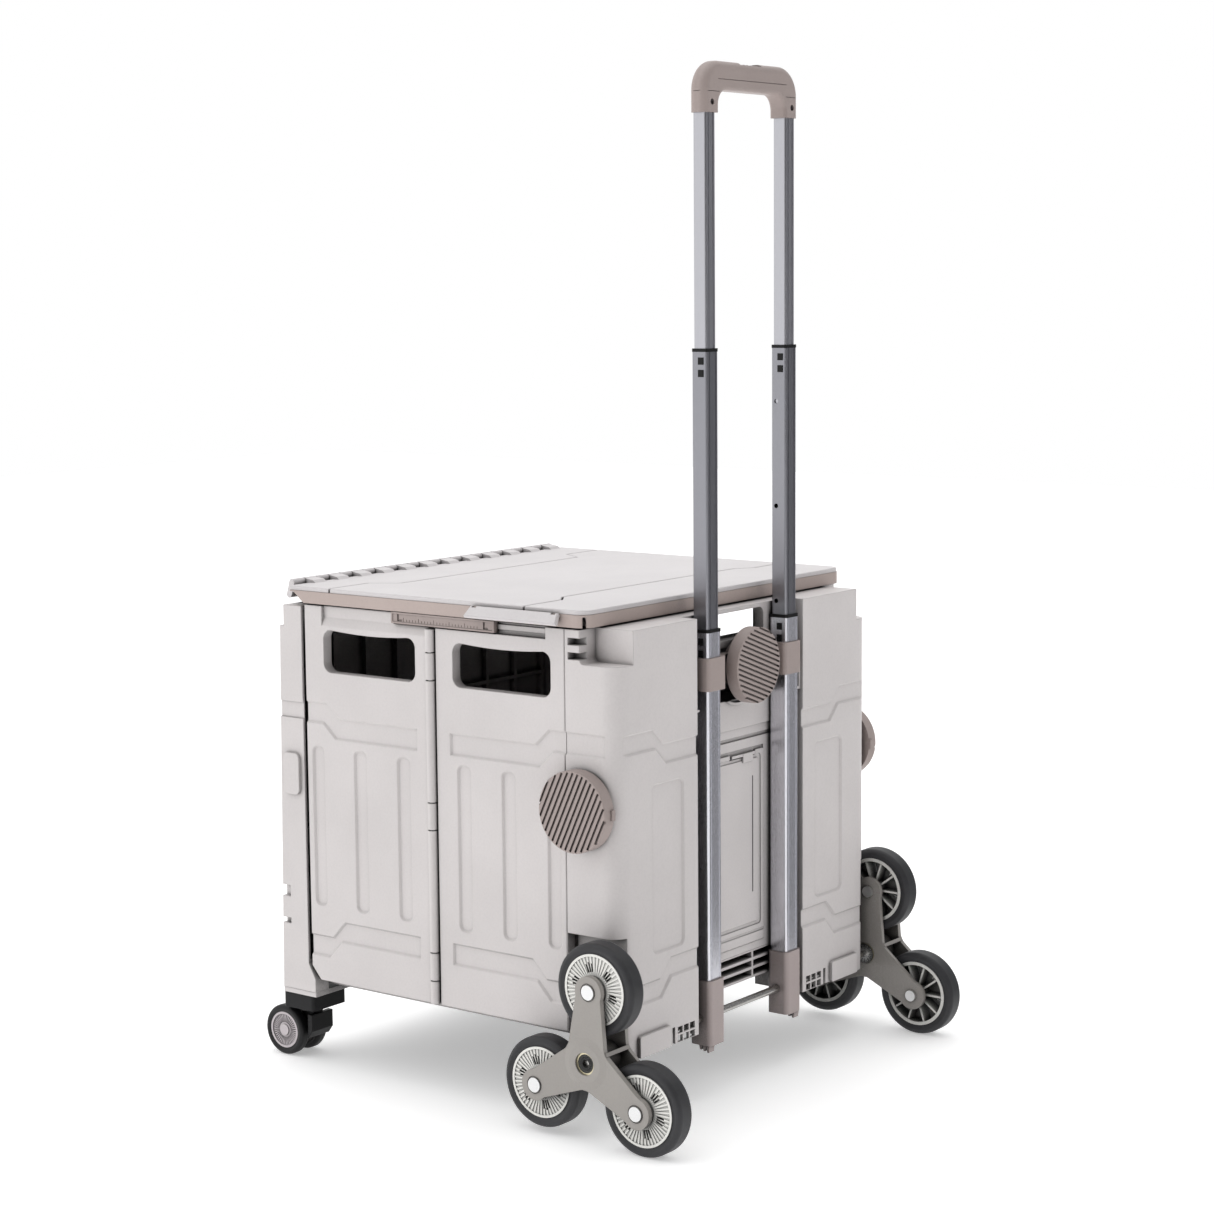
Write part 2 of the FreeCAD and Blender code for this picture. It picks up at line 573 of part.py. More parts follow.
# ---- front wall, flange and casters ----
def front_wall():
    panel = box(-COLUMN_IN, COLUMN_IN, FRONT_Y, FRONT_Y + 9, PANEL_Z0 + 1.5, FRONT_Z1)
    pockets = []
    for i in range(8):
        for j in range(4):
            x0 = -COLUMN_IN + 4 + i * (2 * COLUMN_IN - 8) / 8
            z0 = PANEL_Z0 + 6 + j * 88
            pockets.append(box(x0 + 2, x0 + 48, FRONT_Y + 3, FRONT_Y + 10, z0 + 2, z0 + 86))
    panel = cut(panel, pockets)
    profile = [(FLANGE_Y, FLANGE_Z1), (-167, FLANGE_Z1), (-167, PANEL_Z0 - 1.5), (COLUMN_Y, 109),
               (COLUMN_Y, FRONT_Z1), (FRONT_Y + 2, FRONT_Z1)]
    column = prism_x(COLUMN_IN, SIDE_X, profile)
    hollow = box(COLUMN_IN + 3, SIDE_X - 3, FRONT_Y + 3, COLUMN_Y + 1, 112, FRONT_Z1 - 4)
    slots = [hollow, box(SIDE_X - 6, SIDE_X + 1, FLANGE_Y - 1, FRONT_Y + 8, 178, 190),
             box(SIDE_X - 6, SIDE_X + 1, FLANGE_Y - 1, FRONT_Y + 8, 149, 155),
             box(SIDE_X - 1.5, SIDE_X + 1, FLANGE_Y - 1, COLUMN_Y + 1, 370, 387)]
    column = cut(column, slots)
    tab = round_edges(box(SIDE_X - 1, SIDE_X + 3.5, -203, -181, 289, 333), 6, along(X_AXIS))
    columns = [column, tab]
    columns += [mirror_x(c) for c in columns]
    web_y, axis_z = AXIS_A
    shell = join([panel] + columns)
    tools = [box(-SIDE_X - 5, SIDE_X + 5, FRONT_Y - 5, FRONT_STEP_Y, FRONT_STEP_Z, FRONT_Z1 + 5)]
    # the two vertical bands and cross grooves of the outer face
    for x in (-150, -60, 60, 150):
        tools.append(rounded_box(x - 10, x + 10, FRONT_Y - 1, FRONT_Y + 1.6, 174, 344, 6, Y_AXIS))
    tools.append(box(-180, 180, FRONT_Y - 1, FRONT_Y + BAND_DEPTH, 350, 374))
    shell = cut(shell, tools + [pivot_lugs(-PIVOT_Y, FRONT_Y + MOULD)])
    root = [(web_y - 0.5, axis_z - 4.3), (web_y + 4.2, axis_z - 1.5), (-190, FRONT_Z1), (-192, FRONT_Z1 - 6),
            (-200.5, FRONT_Z1 - 6), (-200.5, FRONT_Z1)]
    return join([shell] + hinge_arms(0, AXIS_A, root))


def front_base():
    """Flange under the front wall with the two caster pads."""
    beam = box(-SIDE_X + 0.5, SIDE_X - 0.5, FLANGE_Y, -186, FLANGE_Z0, FLANGE_Z1)
    pad = box(170, SIDE_X - 0.5, FLANGE_Y, -167, FLANGE_Z0, FLANGE_Z1)
    ribs = [box(-170, 170, FRONT_Y + 2, FRONT_Y + 5, FLANGE_Z1, FLANGE_Z1 + 4)]
    return join([beam, pad, mirror_x(pad)] + ribs)


def caster_socket():
    x0, x1, y0, y1 = 172.0, 222.0, -218.0, -174.0
    block = rounded_box(x0, x1, y0, y1, 56, FLANGE_Z0, 4, Z_AXIS)
    block = block.cut(rod_z(50, 66, CASTER_X, CASTER_Y, 5 + RUN_FIT))
    return block.cut(rod_z(50, 57.5, CASTER_X, CASTER_Y, 9))


def caster_fork():
    """Swivel stem, hood and the axle arm between the twin wheels."""
    stem = rod_z(46, 65, CASTER_X, CASTER_Y, 5)
    neck = rod_z(48, 54, CASTER_X, CASTER_Y, 8)
    wheel_y = CASTER_Y - CASTER_TRAIL
    hood = rod_x(CASTER_X - 6.4, CASTER_X + 6.4, wheel_y, CASTER_R, 24.5)
    hood = hood.common(box(CASTER_X - 7, CASTER_X + 7, wheel_y - 30, wheel_y + 30, 20, 60))
    arm = prism_x(CASTER_X - 6.4, CASTER_X + 6.4,
                  [(wheel_y, 20), (wheel_y + 20, 20), (CASTER_Y + 9, 34), (CASTER_Y + 9, 48), (wheel_y, 48)])
    side = prism_x(CASTER_X - 16, CASTER_X + 16,
                   [(CASTER_Y + 4, 22), (CASTER_Y + 10, 30), (CASTER_Y + 10, 48), (CASTER_Y + 4, 48)])
    axle = rod_x(CASTER_X - 18, CASTER_X + 18, wheel_y, CASTER_R, 2.5)
    return join([stem, neck, hood, arm, side, axle])


def ring(x0, x1, y, z, outer, inner, edge):
    """Round tyre with rolled shoulders, about a line along X."""
    near = [V(x0 + edge, 0, inner), V(x0 + edge * 0.4, 0, inner)]
    near += [V(x0, 0, outer - edge), V(x0 + edge, 0, outer)]
    far = [V(x1 - edge, 0, outer), V(x1, 0, outer - edge), V(x1 - edge * 0.4, 0, inner)]
    profile = near + far
    edges = [Part.makeLine(profile[0], profile[1]), Part.makeLine(profile[1], profile[2])]
    k = edge * (1 - math.sqrt(0.5))
    edges.append(Part.Arc(profile[2], V(x0 + k, 0, outer - k), profile[3]).toShape())
    edges.append(Part.makeLine(profile[3], profile[4]))
    edges.append(Part.Arc(profile[4], V(x1 - k, 0, outer - k), profile[5]).toShape())
    edges.append(Part.makeLine(profile[5], profile[6]))
    edges.append(Part.makeLine(profile[6], profile[0]))
    face = Part.Face(Part.Wire(edges))
    tyre = face.revolve(V(0, 0, 0), X_AXIS, 360)
    tyre.translate(V(0, y, z))
    return tyre


def caster_tyres():
    y = CASTER_Y - CASTER_TRAIL
    near = ring(CASTER_X + 7, CASTER_X + 20, y, CASTER_R, CASTER_R, 18.5, 4)
    far = ring(CASTER_X - 20, CASTER_X - 7, y, CASTER_R, CASTER_R, 18.5, 4)
    bore = rod_x(CASTER_X - 30, CASTER_X + 30, y, CASTER_R, 19.5)
    return Part.makeCompound([near.cut(bore), far.cut(bore)])


def caster_hubs():
    y = CASTER_Y - CASTER_TRAIL
    hubs = []
    for side in (1, -1):
        a, b = sorted((CASTER_X + side * 7.5, CASTER_X + side * 19))
        hub = rod_x(a, b, y, CASTER_R, 19.45)
        face = CASTER_X + side * 19
        f0, f1 = sorted((face - side * 1.2, face + side))
        dish = rod_x(f0, f1, y, CASTER_R, 17).cut(rod_x(f0, f1, y, CASTER_R, 6))
        flutes = []
        count = 40
        for i in range(count):
            depth = 2.6
            a, b = sorted((face + side, face - side * (1.2 + depth)))
            flute = box(a, b, y - 0.45, y + 0.45, CASTER_R + 8, CASTER_R + 16.2)
            flute.rotate(V(0, y, CASTER_R), X_AXIS, 360.0 * i / count)
            flutes.append(flute)
        bore = rod_x(CASTER_X - 18.1, CASTER_X + 18.1, y, CASTER_R, 2.5 + RUN_FIT)
        hubs.append(cut(hub, [dish, bore] + flutes))
    return Part.makeCompound(hubs)


# ---- lid ----
def seam_line(outer_y, inner_y):
    return [(-LID_X - 1, outer_y), (-168, outer_y), (-150, inner_y), (150, inner_y), (168, outer_y),
            (LID_X + 1, outer_y)]


def hinge_arms(first, axis, root):
    """Every second knuckle on a hinge line, each with its arm, bored for the pin."""
    axis_y, axis_z = axis
    out = []
    for i in range(first, CELLS, 2):
        x0 = -CELLS * CELL / 2 + i * CELL + CELL_GAP
        x1 = x0 + CELL - 2 * CELL_GAP
        arm = prism_x(x0, x1, root)
        out.append(join([rod_x(x0, x1, axis_y, axis_z, KNUCKLE_R), arm]))
    bore = rod_x(-CELLS * CELL / 2, CELLS * CELL / 2, axis_y, axis_z, LID_PIN_R + RUN_FIT)
    return [part.cut(bore) for part in out]


SKIRT_SLANT = (-169, -184)   # where the slant leaves the skirt's lower edge and meets the slats


def lid_frame():
    frame = box(-LID_X, LID_X, LID_Y0, LID_Y1, LID_Z0, SLAT_Z0)
    corners = [e for e in frame.Edges if along(Z_AXIS)(e) and e.CenterOfMass.y > 0]
    frame = frame.makeFillet(LID_R, corners)
    inner = box(-LID_X + 3, LID_X - 3, LID_Y0 + 18, LID_Y1 - 3, LID_Z0 - 1, SLAT_Z0 - 2)
    # the skirt's front end slants up to the hinge
    foot_y, head_y = SKIRT_SLANT
    corner = [(LID_Y0 - 1, SLAT_Z0 - 1.5), (LID_Y0 - 1, LID_Z0 - 1)]
    corner += [(foot_y, LID_Z0 - 1), (head_y, SLAT_Z0 - 1.5)]
    slant = prism_x(-LID_X - 1, LID_X + 1, corner)
    frame = frame.cut(Part.makeCompound([inner, slant]))
    ribs = [box(-LID_X + 2, LID_X - 2, y - 1, y + 1, LID_Z0 + 4, SLAT_Z0) for y in (-120, -60, 0, 60, 120)]
    ribs += [box(x - 1, x + 1, LID_Y0 + 19, LID_Y1 - 2, LID_Z0 + 4, SLAT_Z0) for x in (-150, -75, 0, 75, 150)]
    # ears that hold the two clasps on the side skirts
    ax, az = CLASP_AXIS
    ears = []
    for y in (CLASP_Y[0] + 2, CLASP_Y[1] - 6):
        ear = box(LID_X - 1, ax + 1.6, y, y + 4, az - 1.8, SLAT_Z0)
        ears.append(ear.cut(rod_y(y - 1, y + 5, ax, az, CLASP_PIN_R + RUN_FIT)))
    ears += [mirror_x(e) for e in ears]
    return join([frame] + ribs + ears)


def slat(y0_line, y1_line, rounded):
    points = y0_line + list(reversed(y1_line))
    plate = prism_z(SLAT_Z0, LID_Z1, points)
    limit = box(-LID_X + 0.6, LID_X - 0.6, LID_Y0, LID_Y1 - 0.6, SLAT_Z0 - 1, LID_Z1 + 1)
    if rounded:
        corners = [e for e in limit.Edges if along(Z_AXIS)(e) and e.CenterOfMass.y > 0]
        limit = limit.makeFillet(LID_R - 0.6, corners)
    plate = plate.common(limit)
    edges = [e for e in plate.Edges if e.BoundBox.ZMin > LID_Z1 - 0.01]
    return plate.makeChamfer(0.8, edges)


def slats():
    def shift(line, d):
        return [(x, y + d) for x, y in line]
    front_line = [(-LID_X - 1, LID_Y0), (LID_X + 1, LID_Y0)]
    rear_line = [(-LID_X - 1, LID_Y1 + 5), (LID_X + 1, LID_Y1 + 5)]
    seam_a = seam_line(-134, -105)
    seam_b = seam_line(122, 109)
    front = slat(front_line, shift(seam_a, -SEAM), False)
    axis_y, axis_z = AXIS_B
    root = [(axis_y, axis_z + 3.0), (LID_Y0 + 4, axis_z + 1.2), (LID_Y0 + 8, LID_Z1 - 0.5)]
    root += [(LID_Y0 + 8, LID_Z1 - 2), (LID_Y0 + 0.5, LID_Z1 - 3), (axis_y, axis_z - 3.6)]
    front = join([front] + hinge_arms(0, AXIS_B, root))
    middle = slat(shift(seam_a, SEAM), shift(seam_b, -SEAM), False)
    rear = slat(shift(seam_b, SEAM), rear_line, True)
    return front, middle, rear


def lid_hinge_strip():
    """Double hinge strip: one pin line on the front wall, the other on the lid."""
    ya, za = AXIS_A
    yb, zb = AXIS_B
    half = CELLS * CELL / 2
    dy, dz = yb - ya, zb - za
    length = math.hypot(dy, dz)
    ny, nz = dz / length * KNUCKLE_R, -dy / length * KNUCKLE_R
    link = [(ya + ny, za + nz), (yb + ny, zb + nz), (yb - ny, zb - nz), (ya - ny, za - nz)]
    parts = [box(-half + CELL_GAP, half - CELL_GAP, ya + 4.3, ya + 8.0, za + 3.0, za + 8.0)]
    for i in range(1, CELLS, 2):
        x0 = -half + i * CELL + CELL_GAP
        x1 = x0 + CELL - 2 * CELL_GAP
        parts.append(rod_x(x0, x1, ya, za, KNUCKLE_R))
        parts.append(rod_x(x0, x1, yb, zb, KNUCKLE_R))
        parts.append(prism_x(x0, x1, link))
    for y, z in (AXIS_A, AXIS_B):
        parts.append(rod_x(-half + CELL_GAP, half - CELL_GAP, y, z, LID_PIN_R))
    return join(parts)


CLASP_Y = (60.0, 166.5)
CLASP_FLARE = 4.5
CLASP_PIN_R = 1.1
CLASP_AXIS = (231.2, 502.7)


def clasp():
    """Flap on the lid's side skirt, leaning out, hinged along its top and flared at the ends."""
    ax, az = CLASP_AXIS
    y0, y1 = CLASP_Y
    outline = [(ax - 2.0, az), (ax - 1.0, az + 2.6), (ax + 1.5, az + 2.8), (ax + 9.4, az - 6.2)]
    outline += [(ax + 7.2, az - 8.7), (ax + 5.6, az - 8.3), (ax + 0.5, az - 1.8)]
    flap = prism_y(y0 - CLASP_FLARE, y1 + CLASP_FLARE, outline)
    x0, x1, top, foot = ax - 5, ax + 12, az + 3.5, 493.0
    tools = [prism_x(x0, x1, [(y0 - 8, top), (y0, top), (y0 - CLASP_FLARE, foot), (y0 - 8, foot)]),
             prism_x(x0, x1, [(y1 + 8, top), (y1, top), (y1 + CLASP_FLARE, foot), (y1 + 8, foot)])]
    for y in (y0 + 1.4, y1 - 6.6):
        tools.append(box(ax - 4, ax + 2.6, y, y + 5.2, az - 3, az + 3.0))
    pins = [rod_y(y - 0.5, y + 5.7, ax, az, CLASP_PIN_R) for y in (y0 + 1.4, y1 - 6.6)]
    return join([cut(flap, tools)] + pins)


# ---- poles, handle and their fittings ----
def bar_shape(size, x, z0, z1, grow=0.0):
    w, d = size[0] + 2 * grow, size[1] + 2 * grow
    core = box(x - w / 2, x + w / 2, POLE_Y - d / 2, POLE_Y + d / 2, z0, z1)
    return round_edges(core, min(w, d) * 0.13, along(Z_AXIS))


FLUTE = (1.2, 0.45)   # width and depth of the fine lines down the tubes
FLUTE_IN = 4.6        # distance of their middle from the corner


def tube(size, x, z0, z1):
    """Square tube with two fine lines down its front face and two down its rear face."""
    wide, deep = FLUTE
    tools = [bar_shape(size, x, z0 - 1, z1 + 1, -TUBE_WALL)]
    for side in (-1, 1):
        middle = x + side * (size[0] / 2 - FLUTE_IN)
        for face in (-1, 1):
            level = POLE_Y + face * size[1] / 2
            x0, x1 = middle - wide / 2, middle + wide / 2
            tools.append(box(x0, x1, level - deep, level + deep, z0 - 1, z1 + 1))
    return cut(bar_shape(size, x, z0, z1), tools)


def tube_pair(size, z0, z1, holes=()):
    """Two poles; the holes of the spring buttons sit in the faces that look at each other."""
    drills = [rod_x(POLE_X - size[0], POLE_X - 4, POLE_Y - 3, z, 2.4) for z in holes]
    return both(cut(tube(size, POLE_X, z0, z1), drills))


COLLAR_H = 3.2


def collars(size, inside, top):
    """Black ring in the mouth of a tube and two square clips below it."""
    ring_shape = bar_shape(size, POLE_X, top, top + COLLAR_H, 0.4)
    ring_shape = ring_shape.cut(bar_shape(inside, POLE_X, top - 1, top + COLLAR_H + 1, 0.35))
    parts = [ring_shape]
    for z in (top - 12.4, top - 24.4):
        x = POLE_X + size[0] / 2
        parts.append(box(x, x + 0.8, POLE_Y - 1, POLE_Y + 5, z, z + 7))
    return Part.makeCompound(parts + [p.mirror(V(0, 0, 0), X_AXIS) for p in parts[:1]]
                             + [p.copy().translated(V(-2 * POLE_X, 0, 0)) for p in parts[1:]])


def pole_boot():
    foot = rounded_box(POLE_X - 13.5, POLE_X + 13.5, POLE_Y - 12.5, POLE_Y + 13, 56, BOOT_Z1, 5, Z_AXIS)
    foot = foot.cut(bar_shape(OUTER, POLE_X, 70 + 20, BOOT_Z1 + 1, 0.0))
    foot = foot.cut(rod_x(POLE_X - 15, POLE_X + 15, POLE_Y, AXLE_Z, AXLE_R))
    teeth = []
    for i in range(3):
        y = POLE_Y - 2 + i * 4.5
        tip = BOOT_Z0 + 2 - i
        teeth.append(prism_x(POLE_X + 3, POLE_X + 12, [(y, 56.5), (y + 4, 56.5), (y + 3, tip), (y + 1, tip)]))
    return join([foot] + teeth)


def clamp_bracket():
    """Cross strap that grips both poles; its middle carries the rear lock knob."""
    z0, z1 = 416.0, 449.0
    parts = []
    sleeve = rounded_box(POLE_X - 17, POLE_X + 13.5, POLE_Y - 12, POLE_Y + 13, z0, z1, 4, Z_AXIS)
    parts += [sleeve, mirror_x(sleeve)]
    parts.append(box(-POLE_X, POLE_X, POLE_Y - 11.5, POLE_Y - 1, z0 + 2, z1 - 2))
    parts.append(rod_y(POLE_Y - 11.5, POLE_Y + 2, 0, REAR_KNOB_Z, 24))
    strap = join(parts)
    tools = [bar_shape(OUTER, x, z0 - 1, z1 + 1) for x in (POLE_X, -POLE_X)]
    tools.append(rod_y(POLE_Y - 9, POLE_Y + 3, 0, REAR_KNOB_Z, 6 + RUN_FIT))
    return cut(strap, tools)


def knob(radius, depth, ribs, slope):
    """Round knob about +Z with slanting grip ribs on its face; base at Z = 0."""
    body = Part.makeCylinder(radius, depth)
    rim = [e for e in body.Edges if e.BoundBox.ZMin > depth - 0.01]
    body = body.makeFillet(1.2, rim)
    grooves = []
    pitch = 2 * radius / ribs
    for i in range(ribs):
        offset = -radius + (i + 0.5) * pitch
        reach = math.sqrt(max(radius ** 2 - offset ** 2, 1.0)) - 1.6
        if reach < 3:
            continue
        corner = V(offset - pitch * 0.21, -reach, depth - 2.2)
        grooves.append(Part.makeBox(pitch * 0.42, 2 * reach, 4, corner))
    cutter = Part.makeCompound(grooves)
    cutter.rotate(V(0, 0, 0), Z_AXIS, slope)
    body = body.cut(cutter)
    stem = Part.makeCylinder(6, 12, V(0, 0, -10))
    return join([body, stem])


def side_knob():
    shape = knob(KNOB_R, 14.5, 14, 65)
    shape.rotate(V(0, 0, 0), Y_AXIS, 90)
    shape.translate(V(SIDE_X + 4.0, KNOB_Y, KNOB_Z))
    tab = box(SIDE_X + 4, SIDE_X + 9, KNOB_Y + KNOB_R - 3, KNOB_Y + KNOB_R + 1.8, KNOB_Z - 5, KNOB_Z + 5)
    return join([shape, tab])


REAR_KNOB_TILT = 70       # slope of the grip ribs, degrees from upright


def rear_knob():
    shape = knob(REAR_KNOB_R, 14, 16, REAR_KNOB_TILT)
    shape.rotate(V(0, 0, 0), X_AXIS, -90)
    shape.translate(V(0, POLE_Y + 2.4, REAR_KNOB_Z))
    return shape


GRIP_HALF = 82.5
GRIP_DEPTH = 10.0
GRIP_BEND = 29.0          # outer radius of the two shoulders
GRIP_UNDER = 1002.0
LEG_IN = 58.0
SCREW_Z = 990.0
BUTTON_Y = (-5.0, 7.2)    # the button reaches over the rear rounding of the grip


def grip_edges(shape, low, high):
    """Long edges of the grip's two flat faces whose height lies between low and high."""
    out = []
    for edge in shape.Edges:
        bounds = edge.BoundBox
        flat = bounds.YLength < 0.01 and abs(abs(bounds.YMin - POLE_Y) - GRIP_DEPTH) < 0.01
        if flat and bounds.ZMax > low and bounds.ZMin < high:
            out.append(edge)
    return out


def handle_grip():
    """Arched grip whose two legs sleeve over the inner poles."""
    y0, y1 = POLE_Y - GRIP_DEPTH, POLE_Y + GRIP_DEPTH
    body = box(-GRIP_HALF, GRIP_HALF, y0, y1, HANDLE_Z0, HANDLE_Z1)
    body = round_edges(body, GRIP_BEND, lambda e: along(Y_AXIS)(e) and e.CenterOfMass.z > HANDLE_Z1 - 1)
    body = body.makeFillet(8, grip_edges(body, HANDLE_Z0 + 1, HANDLE_Z1 + 1))
    gap = box(-LEG_IN, LEG_IN, y0 - 5, y1 + 5, HANDLE_Z0 - 20, GRIP_UNDER)
    gap = round_edges(gap, 15, lambda e: along(Y_AXIS)(e) and e.CenterOfMass.z > GRIP_UNDER - 1)
    body = body.cut(gap)
    inner = [e for e in grip_edges(body, HANDLE_Z0 + 1, GRIP_UNDER + 1) if abs(e.CenterOfMass.x) < LEG_IN + 1]
    body = body.makeFillet(4, inner)
    tools = [bar_shape(INNER, x, HANDLE_Z0 - 1, 1000) for x in (POLE_X, -POLE_X)]
    for x in (POLE_X, -POLE_X):
        tools.append(rod_y(POLE_Y + 6, POLE_Y + GRIP_DEPTH + 1, x, SCREW_Z, 3.0))
    # seam where the sleeve of each leg begins, and the parting line along the rear face
    tools += [ring_cut(1000.0), box(-60, 60, y1 - 0.5, y1 + 1, 1012.0, 1012.6)]
    low, high = BUTTON_Y
    tools.append(box(-18.3, 18.3, POLE_Y + low - 0.3, POLE_Y + high + 0.3, HANDLE_Z1 - 10.5, HANDLE_Z1 + 1))
    return cut(body, tools)


def ring_cut(z):
    """Hairline groove round the outside of both legs."""
    outside = box(-GRIP_HALF - 1, GRIP_HALF + 1, POLE_Y - 12, POLE_Y + 12, z, z + 0.6)
    half, depth = GRIP_HALF - 0.5, GRIP_DEPTH - 0.5
    core = box(-half, half, POLE_Y - depth, POLE_Y + depth, z - 1, z + 2)
    middle = box(-LEG_IN, LEG_IN, POLE_Y - 13, POLE_Y + 13, z - 1, z + 2)
    return cut(outside, [core, middle])


def handle_button():
    low, high = POLE_Y + BUTTON_Y[0], POLE_Y + BUTTON_Y[1]
    top = HANDLE_Z1 - 2.2
    button = rounded_box(-18, 18, low, high, HANDLE_Z1 - 6.2, top, 3, Z_AXIS)
    ridge = [box(x - 1, x + 1, low + 1.5, high - 1.5, top - 0.1, top + 0.5) for x in (-9, -3, 3, 9)]
    return join([button] + ridge)


# ---- stair wheels ----
BEARING_R = 11.0
ARM_END_R = 15.5          # half width of an arm at its pin
ARM_WAIST = 25.0          # axle to the corner between two arms, before rounding
ARM_CORNER_R = 14.0
PIN_HEAD_R = 7.2


def ring_point(radius, degrees):
    """Point on a circle about the axle line, measured from straight up towards the front."""
    a = math.radians(degrees)
    return (-radius * math.sin(a), radius * math.cos(a))


def spider_outline(x0, x1):
    """Three straight tapering arms with round ends and hollow corners between them."""
    reach = math.hypot(ARM_R - ARM_WAIST / 2, ARM_WAIST * math.sin(math.radians(60)))
    lean = math.degrees(math.asin(ARM_END_R / reach))
    corner = math.degrees(math.atan2(ARM_WAIST * math.sin(math.radians(60)), ARM_R - ARM_WAIST / 2))
    swing = 90 - lean - corner
    points, ends = [], []
    for i in range(3):
        pin = ring_point(ARM_R, 120 * i)
        for turn in (-swing, swing):
            touch = ring_point(ARM_END_R, 120 * i + turn)
            points.append((pin[0] + touch[0], pin[1] + touch[1]))
        points.append(ring_point(ARM_WAIST, 120 * i + 60))
        ends.append(rod_x(x0, x1, pin[0], pin[1], ARM_END_R))
    plate = prism_x(x0, x1, points)

    def inner_corner(edge):
        centre = edge.CenterOfMass
        return along(X_AXIS)(edge) and math.hypot(centre.y, centre.z) < ARM_WAIST + 1
    plate = round_edges(plate, ARM_CORNER_R, inner_corner)
    return join([plate] + ends)


def spider():
    """Outer and inner star plates tied by a hub and three cross webs."""
    outer = spider_outline(*PLATE_OUT)
    inner = spider_outline(*PLATE_IN)
    hub = rod_x(PLATE_IN[0], PLATE_OUT[1] + 1.5, 0, 0, 16)
    boss = Part.makeCone(25, 18, 1.5, V(PLATE_OUT[1], 0, 0), X_AXIS)
    webs = []
    for i in range(3):
        web = box(PLATE_IN[0] + 1, PLATE_OUT[1] - 1, -2, 2, 8, 27)
        web.rotate(V(0, 0, 0), X_AXIS, 120 * i + 60)
        webs.append(web)
    whole = join([outer, inner, hub, boss] + webs)
    whole.rotate(V(0, 0, 0), X_AXIS, -ARM_LEAN)
    whole.translate(V(0, POLE_Y, AXLE_Z))
    tools = [rod_x(PLATE_OUT[1] - 7.5, PLATE_OUT[1] + 3, POLE_Y, AXLE_Z, BEARING_R),
             rod_x(PLATE_IN[0] - 2, PLATE_IN[0] + 6, POLE_Y, AXLE_Z, BEARING_R),
             rod_x(PLATE_IN[0] - 2, PLATE_OUT[1] + 3, POLE_Y, AXLE_Z, 6.5)]
    for y, z in wheel_centres():
        tools.append(rod_x(PLATE_IN[0] - 2, PLATE_OUT[1] + 2, y, z, WHEEL_PIN_R + RUN_FIT))
        seat = rod_x(PLATE_OUT[1] - 0.8, PLATE_OUT[1] + 2, y, z, PIN_HEAD_R + 1.6)
        tools.append(seat.cut(rod_x(PLATE_OUT[1] - 1, PLATE_OUT[1] + 3, y, z, PIN_HEAD_R)))
    return cut(whole, tools)


def wheel_centres():
    out = []
    for i in range(3):
        a = math.radians(120 * i - ARM_LEAN)
        out.append((POLE_Y - ARM_R * math.sin(a), AXLE_Z + ARM_R * math.cos(a)))
    return out


def spider_pins():
    """Wheel pins with round heads, their nuts, and the two centre bearings."""
    parts = []
    for y, z in wheel_centres():
        pin = rod_x(PLATE_IN[0] - 3, PLATE_OUT[1] + 1.2, y, z, WHEEL_PIN_R)
        head = rod_x(PLATE_OUT[1], PLATE_OUT[1] + 1.2, y, z, PIN_HEAD_R)
        nut = rod_x(PLATE_IN[0] - 3, PLATE_IN[0], y, z, 6.0)
        parts.append(join([pin, head, nut]))
    for x0 in (PLATE_OUT[1] - 7.5, PLATE_IN[0] - 1.0):
        race = rod_x(x0, x0 + 7.0, POLE_Y, AXLE_Z, BEARING_R)
        shield = rod_x(x0 + 6.3, x0 + 8, POLE_Y, AXLE_Z, BEARING_R - 1.8)
        collar = rod_x(x0 + 6, x0 + 9, POLE_Y, AXLE_Z, BEARING_R - 4.6)
        bore = rod_x(x0 - 1, x0 + 8, POLE_Y, AXLE_Z, AXLE_R + RUN_FIT)
        parts.append(cut(race, [shield.cut(collar), bore]))
    return Part.makeCompound(parts)


def main_axle():
    end = PLATE_OUT[1] - 4
    return rod_x(-end, end, POLE_Y, AXLE_Z, AXLE_R)


HUB_R = 35.0


def stair_tyre(y, z):
    tyre = ring(WHEEL_X0, WHEEL_X1, y, z, TYRE_R, HUB_R - 1, 5)
    return tyre.cut(rod_x(WHEEL_X0 - 1, WHEEL_X1 + 1, y, z, HUB_R))


def stair_hub(y, z):
    """Wheel centre: rim, web, boss, inner spokes, fluted outer face with slots."""
    rim = rod_x(WHEEL_X0 + 1, WHEEL_X1 - 0.6, 0, 0, HUB_R)
    inner_cup = rod_x(WHEEL_X0, WHEEL_X1 - 6, 0, 0, HUB_R - 3.5)
    dish = rod_x(WHEEL_X1 - 1.8, WHEEL_X1, 0, 0, HUB_R - 2.5)
    parts = [rim.cut(Part.makeCompound([inner_cup, dish]))]
    parts.append(rod_x(PLATE_IN[1] + 0.5, PLATE_OUT[0] - 0.5, 0, 0, 9))
    spokes = 10
    for i in range(spokes):
        rib = box(WHEEL_X0 + 2, WHEEL_X1 - 5.5, -1, 1, 8, HUB_R - 3)
        rib.rotate(V(0, 0, 0), X_AXIS, 360.0 * i / spokes + 18)
        parts.append(rib)
    flutes = 48
    for i in range(flutes):
        flute = box(WHEEL_X1 - 2.2, WHEEL_X1 - 1.0, -0.95, 0.95, 14, HUB_R - 2)
        flute.rotate(V(0, 0, 0), X_AXIS, 360.0 * i / flutes)
        parts.append(flute)
    hub = join(parts)
    slots = [rod_x(WHEEL_X0 - 5, WHEEL_X1 + 5, 0, 0, WHEEL_PIN_R + RUN_FIT)]
    groups = 6
    for group in range(groups):
        for k in (-1, 0, 1):
            slot = rounded_box(WHEEL_X1 - 8, WHEEL_X1 + 1, -1.0, 1.0, 17.5, 27.5 - abs(k) * 1.5, 0.9, X_AXIS)
            slot.rotate(V(0, 0, 0), X_AXIS, 360.0 * group / groups + 7.5 * k + 15)
            slots.append(slot)
    hub = cut(hub, slots)
    hub.translate(V(0, y, z))
    return hub


